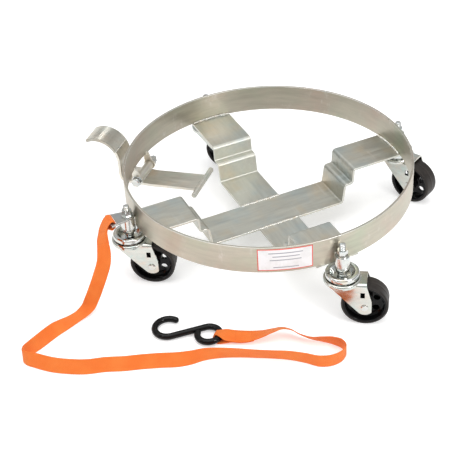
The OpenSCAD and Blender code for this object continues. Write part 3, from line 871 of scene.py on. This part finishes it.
# Each part: its node, its finish, the width of its eased edge in millimetres and that edge's
# finish, which on most parts is the brighter zinc of a painted highlight
easing = [
    ("ring_band", ring_zinc, 0.9, edge_highlight_zinc), ("long_bar", metals["bar_steel"], 0.8, edge_highlight_zinc),
    ("half_bar_rear", cross_steel, 0.8, edge_highlight_zinc), ("half_bar_front", cross_steel, 0.8, edge_highlight_zinc),
    ("lever_strip", lever_zinc, 0.9, edge_highlight_zinc), ("lever_rod", lever_zinc, 0.8, edge_highlight_zinc),
    ("lever_sleeve", lever_zinc, 0.6, edge_highlight_zinc), ("lever_ears", lever_zinc, 0.6, edge_highlight_zinc),
    ("foot_pedal", metals["tread_zinc"], 0.7, edge_highlight_zinc),
    ("hinge_nut", bright, 0.5, bright), ("stem_nuts", bright, 0.4, bright),
    ("strap_plate", metals["plate_steel"], 0.4, edge_highlight_zinc),
]
for k in (1, 2, 3, 4):
    easing += [(f"fork_{k}", fork_zinc, 0.5, edge_highlight_zinc), (f"socket_{k}", bright, 0.8, bright),
        (f"upper_race_{k}", bright, 0.5, bright), (f"axle_{k}", bright, 0.4, bright),
        (f"wheel_core_{k}", core_black, 0.7, core_black)]
for row in easing:
    eased(*row)

# %% [markdown]
# Washers, balls, bushings and the lower races are small or half hidden, so their CAD meshes
# stay as they are and only get a finish, through their own material slots.

# %% Finishes on CAD nodes
plain_nodes = {"stem_washers": bright, "hinge_washers": bright, "lower_races": bright,
    "swivel_balls": metals["ball_steel"]}
for k in (1, 2, 3, 4):
    plain_nodes[f"thrust_washers_{k}"] = bright
    plain_nodes[f"bushing_{k}"] = bronze
for name, finish in plain_nodes.items():
    for place in frame["nodes"][name].material_slots:
        place.material = finish
print(len(plain_nodes), "CAD nodes finished in place")

# %% [markdown]
# ## Threads
# A bolt's thread is one helical ridge. Rows of points round the shank, each pushed in by a
# distance that depends on its height and its angle, draw that ridge without any cutting.
# The pitch is 1.95 millimetres, the usual thirteen turns to the inch of a half-inch stud.

# %% Threaded rods
thread_pitch, thread_depth = 1.95 * mm, 0.95 * mm
round_sides = 48


def lathe(rows, sides, shape=None):
    """Points and faces turned about Z through (radius, height) rows, closed at both ends."""
    rows = np.array(rows, float)
    a = np.linspace(0, 2 * np.pi, sides, endpoint=False)
    radius = np.repeat(rows[:, :1], sides, 1)
    if shape is not None:
        radius = radius - shape(rows[:, 1][:, None], a[None])
    points = np.stack([radius * np.cos(a), radius * np.sin(a),
        np.repeat(rows[:, 1:], sides, 1)], 2).reshape(-1, 3)
    last = (len(rows) - 1) * sides
    ends = [tuple(range(sides))[::-1], tuple(range(last, last + sides))]
    return points, bands(len(rows), sides), ends


def threaded(first, last):
    """How far a thread cuts in at a height and an angle, between two heights."""
    def cut(z, a):
        turn = (z / thread_pitch - a / (2 * np.pi)) % 1
        ridge = np.clip(np.abs(turn - 0.5) * 2.6 - 0.15, 0, 1)
        fade = np.clip((z - first) / (2 * thread_pitch), 0, 1) * (z < last)
        return thread_depth * (1 - ridge) * fade
    return cut


def stud(low, high, radius, thread_from, collars=()):
    """A stud along Z with a thread up to its chamfered tip, and (low, high, radius) collars."""
    rows = [(radius, low)]
    for z0, z1, r in collars:
        rows += [(radius, z0), (r, z0), (r, z1), (radius, z1)]
    rows += [(radius, z) for z in np.arange(thread_from, high - 1.1 * mm, 0.2 * mm)]
    rows += [(radius - 0.4 * mm, high - 0.4 * mm), (radius - 1.3 * mm, high)]
    return lathe(rows, round_sides, threaded(thread_from, high - 1.0 * mm))


def joined(name, shapes, places, material):
    """Several copies of shapes, each moved by its matrix, as one object."""
    vertices, faces = [], []
    for (points, sides, ends), place in zip(shapes, places):
        first = len(vertices)
        vertices += [place @ Vector(p) for p in points]
        faces += [tuple(first + i for i in face) for face in sides + ends]
    piece = build(name, vertices, faces, material)
    face_outwards(piece)
    return piece


def round_z(radius, angle):
    """A place at a radius round Z, with the angle in degrees."""
    return radius * math.cos(math.radians(angle)), radius * math.sin(math.radians(angle))


post_r, post_angles = 0.325, (45, 135, 225, 315)
posts = [Matrix.Translation((*round_z(post_r, a), 0)) for a in post_angles]
stem_low, stem_top, stem_r, thread_from = 0.088, 0.186, 0.00635, 0.160
# Each collar of a stem: its lowest and highest place, and its radius
stem_collars = [(0.0881, 0.093, 0.010), (0.10775, 0.124, 0.010)]
stem = stud(stem_low, stem_top, stem_r, thread_from, stem_collars)
stems = joined("caster_studs", [stem] * 4, posts, bright)
keep(stems, "root", "bright_zinc", "caster_stems")

low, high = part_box("hinge_bolt")
axis_x, axis_z = (low[0] + high[0]) / 2, (low[2] + high[2]) / 2
head_t, flat_r = 0.009, 0.011
bolt_end, bolt_thread = high[1], 0.021
on_hinge = Matrix.Translation((axis_x, 0, axis_z)) @ Matrix.Rotation(math.radians(-90), 4, "X")
shank_of_bolt = stud(low[1] + head_t, bolt_end, stem_r, bolt_end - bolt_thread)
corner = [round_z(flat_r, 60 * k) for k in range(6)]


def hex_head(z0, z1, radius):
    """A six-sided head whose outer corners are turned off to a cone."""
    inner = radius * 0.86
    rows = [(1.0, z1), (1.0, z0 + 0.9 * mm), (inner / radius, z0)]
    points = [(x * s, y * s, z) for s, z in rows for x, y in corner]
    return points, bands(len(rows), 6), [tuple(range(6)), tuple(range(12, 18))]


bolt = joined("hinge_bolt_threaded", [shank_of_bolt, hex_head(low[1], low[1] + head_t, flat_r)],
    [on_hinge] * 2, bright)
keep(bolt, "root", "bright_zinc", "hinge_bolt")

# %% [markdown]
# ## Weld ripples
# A weld cools in overlapping scales, one for each pulse of the arc. The bead tree that made
# the stitches makes these too: flattened drops, closer together than they are long, leaning
# back along the seam, with uneven sizes from a fixed seed.

# %% Weld lines
ring_in_r, bar_w, seat_z, under_z = 0.305, 0.094, 0.056, 0.134
weld_metal = metals["weld_metal"]


def line(start, end, count=24, wander=0.0):
    """A straight seam, with a slow sideways wander in metres."""
    t = np.linspace(0, 1, count)[:, None]
    start, end = np.array(start, float), np.array(end, float)
    side = np.cross(units((end - start)[None])[0], (0, 0, 1))
    return start + (end - start) * t + side * wander * np.sin(t * 17 + np.sin(t * 41))


def about_z(angle, points):
    """Points turned about Z by an angle in degrees."""
    c, s = math.cos(math.radians(angle)), math.sin(math.radians(angle))
    return np.array(points) @ np.array([[c, s, 0], [-s, c, 0], [0, 0, 1]])


def weld(name, lines, body, pitch, size, lean, uneven, seed, *stands_for):
    """Weld ripples along lines, with their pitch and size in millimetres."""
    beaded = grow(name, lines, beads, Pitch=pitch * mm, Size=tuple(s * mm for s in size),
        Lean=math.radians(lean), Uneven=uneven, Seed=seed, Material=weld_metal)
    keep(beaded, body, "weld_metal", *stands_for)


half = bar_w / 2
seam_reach = half - 2 * mm
cross_lines = [about_z(a, line((half, -seam_reach, seat_z), (half, seam_reach, seat_z), 24,
    0.6 * mm)) for a in (135, 315)]
weld("cross_weld_beads", cross_lines, "root", 2.1, (2.3, 3.9, 1.7), 14, 0.14, 5, "cross_welds")

span = math.degrees(math.asin((half - 3 * mm) / ring_in_r))
fillet_r = ring_in_r - 2.0 * mm
ring_lines = [[(*round_z(fillet_r, a + d), under_z + 2.0 * mm)
    for d in np.linspace(-span, span, 30)] for a in post_angles]
weld("ring_weld_beads", ring_lines, "root", 2.4, (2.4, 3.1, 3.1), 16, 0.16, 8, "ring_welds")

ring_r = 0.310
socket_x, socket_y, socket_z0, socket_z1 = ring_r + 1.4 * mm, 6.6 * mm, 0.136, 0.156
socket_lines = [about_z(a, line((socket_x, s * socket_y, socket_z0),
    (socket_x, s * socket_y, socket_z1), 8)) for a in post_angles for s in (-1, 1)]
weld("socket_weld_beads", socket_lines, "root", 2.2, (2.1, 2.9, 2.9), 12, 0.16, 2,
    "socket_welds")

hinge_x, strip_top = 0.297, 0.098
strip_reach, bead_z = 0.0265, strip_top + 1.2 * mm
lever_lines = [line((-hinge_x + s * 6.4 * mm, -strip_reach, bead_z),
    (-hinge_x + s * 6.4 * mm, strip_reach, bead_z), 20) for s in (-1, 1)]
weld("lever_weld_beads", lever_lines, "lever", 2.2, (2.2, 2.4, 2.0), 14, 0.14, 4, "lever_welds")

# %% [markdown]
# The pedal is welded on where its tread starts, and the rod lies in a weld on the end of
# the strip. Both faces of each ear are welded to the ring. These seams have no CAD node,
# because they only cover joints that are already closed.

# %% Small seams
curl, curl_r, lever_half, strip_t = (-0.392, 0.143), 0.050, 0.0285, 0.006
seam_angle = math.radians(30)


def on_curl(angle, radius):
    """A place on the pedal's curl, with the angle counted up from the riser."""
    return curl[0] + radius * math.cos(angle), curl[1] + radius * math.sin(angle)


x, z = on_curl(seam_angle, curl_r + strip_t / 2 - 0.4 * mm)
pedal_seam = line((x, -lever_half + mm, z), (x, lever_half - mm, z), 20)
rod_x, rod_z = -0.1605, 0.1035
rod_reach, rod_top = lever_half - 2 * mm, rod_z + 2.6 * mm
rod_seam = line((rod_x, -rod_reach, rod_top), (rod_x, rod_reach, rod_top), 20)
for name, run, seed in (("pedal_weld_beads", pedal_seam, 6), ("rod_weld_beads", rod_seam, 7)):
    weld(name, [run], "lever", 2.0, (1.9, 1.7, 1.2), 12, 0.15, seed)

ear_in, ear_out, ear_z0, ear_z1 = 0.0315, 0.0365, 0.1345, 0.1385
ear_lines = []
for side in (-1, 1):
    for y, lean in ((ear_in - 0.8 * mm, -1), (ear_out + 0.8 * mm, 1)):
        x = -math.sqrt(ring_in_r**2 - y * y) + 0.9 * mm
        ear_lines.append(line((x, side * y, ear_z0), (x, side * y, ear_z1), 10))
weld("ear_weld_beads", ear_lines, "root", 2.1, (2.0, 2.0, 2.0), 12, 0.16, 9)

# %% [markdown]
# ## The pedal's tread
# The foot pedal is rolled tread plate: rows of small pyramids that stop a boot from
# slipping. The tree lays out two grids in step with each other, wraps their points round
# the curl, and stands a four-sided pyramid on each, turned to face straight out.

# %% Tread tree
tread, gets = geometry_tree("tread on a curl", [("Length", "Float", 0.08), ("Width", "Float", 0.05),
    ("Columns", "Int", 20), ("Rows", "Int", 12), ("Radius", "Float", 0.05), ("Start", "Float", 0.5),
    ("Centre", "Vector", (0, 0, 0)), ("Stud", "Vector", (0.003, 0.003, 0.0005)),
    ("Material", "Material", None)])
grids = node(tread, "GeometryNodeJoinGeometry")
pitch_x = sums(tread, "DIVIDE", gets["Length"], gets["Columns"])
pitch_y = sums(tread, "DIVIDE", gets["Width"], gets["Rows"])
for k in (0.0, 0.5):
    flat_grid = node(tread, "GeometryNodeMeshGrid", Size_X=gets["Length"], Size_Y=gets["Width"],
        Vertices_X=gets["Columns"], Vertices_Y=gets["Rows"]).outputs[0]
    shift = node(tread, "ShaderNodeCombineXYZ", sums(tread, "MULTIPLY", pitch_x, k),
        sums(tread, "MULTIPLY", pitch_y, k)).outputs[0]
    moved = node(tread, "GeometryNodeTransform", Geometry=flat_grid, Translation=shift).outputs[0]
    tread.links.new(moved, grids.inputs[0])
place = node(tread, "GeometryNodeInputPosition").outputs[0]
parts = node(tread, "ShaderNodeSeparateXYZ", place).outputs
run = sums(tread, "MULTIPLY_ADD", gets["Length"], 0.5, parts[0])
angle = sums(tread, "ADD", sums(tread, "DIVIDE", run, gets["Radius"]), gets["Start"])
wrapped = node(tread, "ShaderNodeCombineXYZ",
    sums(tread, "MULTIPLY", gets["Radius"], sums(tread, "COSINE", angle)), parts[1],
    sums(tread, "MULTIPLY", gets["Radius"], sums(tread, "SINE", angle))).outputs[0]
spot = node(tread, "ShaderNodeVectorMath", wrapped, gets["Centre"], settings={"operation": "ADD"})
facing = node(tread, "ShaderNodeCombineXYZ",
    Y=sums(tread, "SUBTRACT", math.pi / 2, angle)).outputs[0]
kept = node(tread, "GeometryNodeStoreNamedAttribute", grids.outputs[0], Name="facing", Value=facing,
    settings={"data_type": "FLOAT_VECTOR", "domain": "POINT"}).outputs[0]
round_the_curl = node(tread, "GeometryNodeSetPosition", Geometry=kept,
    Position=spot.outputs[0]).outputs[0]
pyramid = node(tread, "GeometryNodeMeshCone", Vertices=4, Radius_Top=0.22, Radius_Bottom=1.0,
    Depth=1.0).outputs[0]
turned = node(tread, "GeometryNodeInputNamedAttribute", Name="facing",
    settings={"data_type": "FLOAT_VECTOR"}).outputs[0]
studs = node(tread, "GeometryNodeInstanceOnPoints", Points=round_the_curl, Instance=pyramid,
    Rotation=turned, Scale=gets["Stud"]).outputs[0]
finish_tree(tread, studs, gets, smooth=False)

# %% Tread studs
tip_angle = math.radians(120)
outer_r = curl_r + strip_t / 2
tread_run = (tip_angle - seam_angle) * outer_r - 5 * mm
studs = grow("pedal_tread", [[(0, 0, 0), (0, 0, mm)]], tread, Length=tread_run,
    Width=2 * lever_half - 5 * mm, Columns=20, Rows=14, Radius=outer_r,
    Start=seam_angle + 2.5 * mm / outer_r, Centre=(curl[0], 0, curl[1]),
    Stud=(1.3 * mm, 1.3 * mm, 0.95 * mm), Material=metals["stud_zinc"])
keep(studs, "lever", "ring_zinc")

# %% [markdown]
# ## Tyres
# The tread is a band of rubber moulded on to the core. It is almost plain: a rounded
# shoulder on each side, and one thin line round the middle where the two halves of the
# mould met. A profile turned round the axle gives all of it. The caster's trail and swing
# tell where the axle is and which way it points.

# %% Tyres
swings, trail, axle_z = (-18, 0, 13, 11), 0.046, 0.0475
tyre_r, tyre_in_r, tyre_half, shoulder = 0.0475, 0.0430, 0.019, 0.0032
flash_h, flash_w = 0.16 * mm, 0.35 * mm
wheel_sides = 112


def tyre_profile():
    """(radius, place along the axle) rows from one bead over the tread to the other."""
    turn = [math.radians(a) for a in (0, 18, 36, 54, 72, 90)]
    shoulders = [(tyre_r - shoulder + shoulder * math.sin(a),
        tyre_half - shoulder + shoulder * math.cos(a)) for a in turn]
    side = [(tyre_in_r, tyre_half)] + shoulders + [(tyre_r, 0.006), (tyre_r, flash_w)]
    return side + [(tyre_r + flash_h, 0)] + [(r, -z) for r, z in side[::-1]]


for k, (post, swing) in enumerate(zip(posts, swings), 1):
    axle = (post @ Matrix.Rotation(math.radians(swing), 4, "Z")
        @ Matrix.Translation((trail, 0, axle_z)) @ Matrix.Rotation(math.radians(90), 4, "X"))
    points, faces, _ = lathe(tyre_profile(), wheel_sides)
    n, last = wheel_sides, (len(tyre_profile()) - 1) * wheel_sides
    faces += [(last + i, last + (i + 1) % n, (i + 1) % n, i) for i in range(n)]
    tyre = joined(f"tyre_{k}_moulded", [(points, faces, [])], [axle], tread_rubber)
    keep(tyre, f"wheel_{k}", "tread_rubber", f"tyre_{k}")

# %% [markdown]
# ## The label
# A white film label with a red border is stuck to the front of the ring. It carries no
# words here, only ruled lines. The film is a sheet that follows the ring. Its rows and
# columns are cut at the border and at each line, so each colour is a face of its own and
# every edge stays crisp.

# %% Label
film_white = moulded("label_film", (0.80, 0.79, 0.80), (0.66, 0.65, 0.64), (0.30, 0.5), 0.02)
film_red = moulded("label_border", (0.78, 0.10, 0.075), (0.66, 0.14, 0.11), (0.30, 0.5), 0.02)
film_line = moulded("label_lines", (0.30, 0.30, 0.34), (0.4, 0.4, 0.42), (0.35, 0.5), 0.02)
low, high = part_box("label_plate")
label_first, label_span = 284.7, 20.2
label_z0, label_z1 = low[2], high[2]
film_r = ring_r + 0.35 * mm
border = 1.9 * mm
# Each line: its height over the label's foot and its start and end, as shares of the label
label_lines = [(0.80, 0.20, 0.82), (0.64, 0.27, 0.76), (0.48, 0.22, 0.79), (0.14, 0.28, 0.74)]
line_half = 1.1 * mm
label_w = math.radians(label_span) * film_r
label_h = label_z1 - label_z0
across_cuts = {0, border, label_w - border, label_w, *np.linspace(border, label_w - border, 26)}
across_cuts |= {share * label_w for row in label_lines for share in row[1:]}
up_cuts = {0, border, label_h - border, label_h}
up_cuts |= {share * label_h + s for share, _, _ in label_lines for s in (-line_half, line_half)}
us, vs = sorted(across_cuts), sorted(up_cuts)


def label_colour(u, v):
    """0 for the white film, 1 for the border, 2 for a ruled line."""
    if not (border < u < label_w - border and border < v < label_h - border):
        return 1
    inside = [abs(v - share * label_h) < line_half and a * label_w < u < b * label_w
        for share, a, b in label_lines]
    return 2 if any(inside) else 0


def on_ring(u, v, radius):
    """A place on the ring's face from the distances along and up the label."""
    a = math.radians(label_first) + u / film_r
    return radius * math.cos(a), radius * math.sin(a), label_z0 + v


front = [on_ring(u, v, film_r) for v in vs for u in us]
n = len(us)
faces = [(j * n + i, j * n + i + 1, (j + 1) * n + i + 1, (j + 1) * n + i)
    for j in range(len(vs) - 1) for i in range(n - 1)]
label = build("label", front, faces, film_white)
for extra in (film_red, film_line):
    label.data.materials.append(extra)
cells = [(j, i) for j in range(len(vs) - 1) for i in range(n - 1)]
for face, (j, i) in zip(label.data.polygons, cells):
    face.material_index = label_colour((us[i] + us[i + 1]) / 2, (vs[j] + vs[j + 1]) / 2)
film = label.modifiers.new("film", "SOLIDIFY")
film.thickness, film.offset = 0.3 * mm, -1
solid = plain_mesh(label)
label.modifiers.clear()
label.data = solid
keep(label, "root", "label_film", "label_plate")
